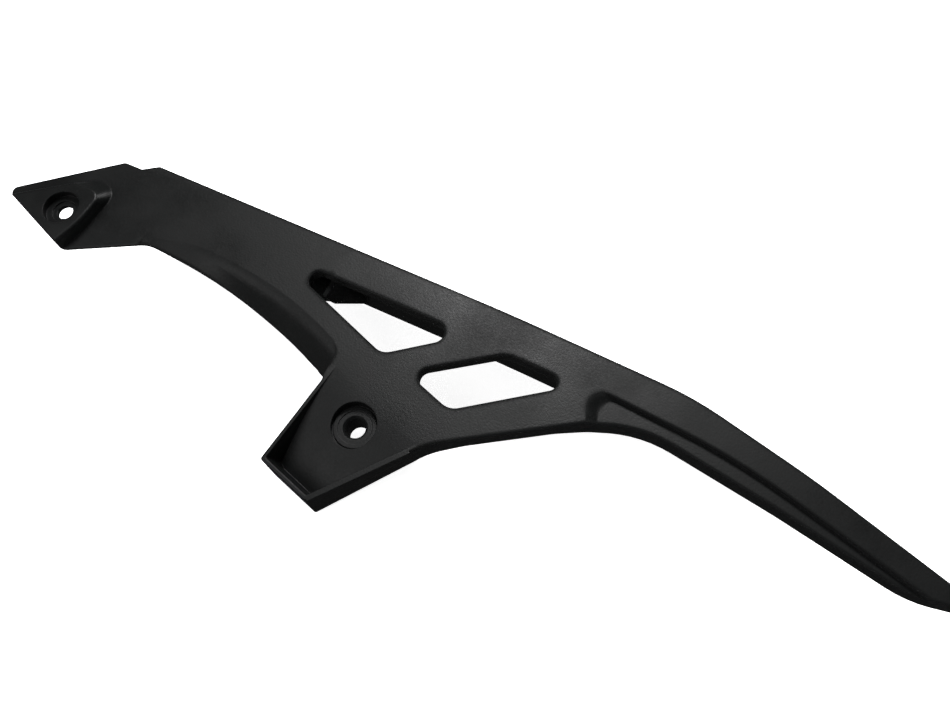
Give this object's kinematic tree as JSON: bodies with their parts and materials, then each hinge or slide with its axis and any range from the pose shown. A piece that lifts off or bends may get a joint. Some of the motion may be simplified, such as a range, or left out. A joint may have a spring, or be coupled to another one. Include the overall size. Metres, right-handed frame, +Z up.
{
  "type": "motorcycle chain guard",
  "caption": "Black moulded motorcycle chain guard: an angled cover with a deep top wall, a sloping bolt lug, a raised front ear, slanted windows and a slender tail.",
  "frame": {"origin": "middle of the bounding box on the plane the guard rests on", "axes": "+X along the straight top edge towards the tail, +Z up as it lies at rest, -Y from the top wall towards the lug"},
  "size_m": [0.4958, 0.134, 0.0577],
  "materials": {
    "black_plastic": "fine-grained matte black moulding"
  },
  "bodies": {
    "root": {"chain_guard": "black_plastic"}
  },
  "joints": []
}
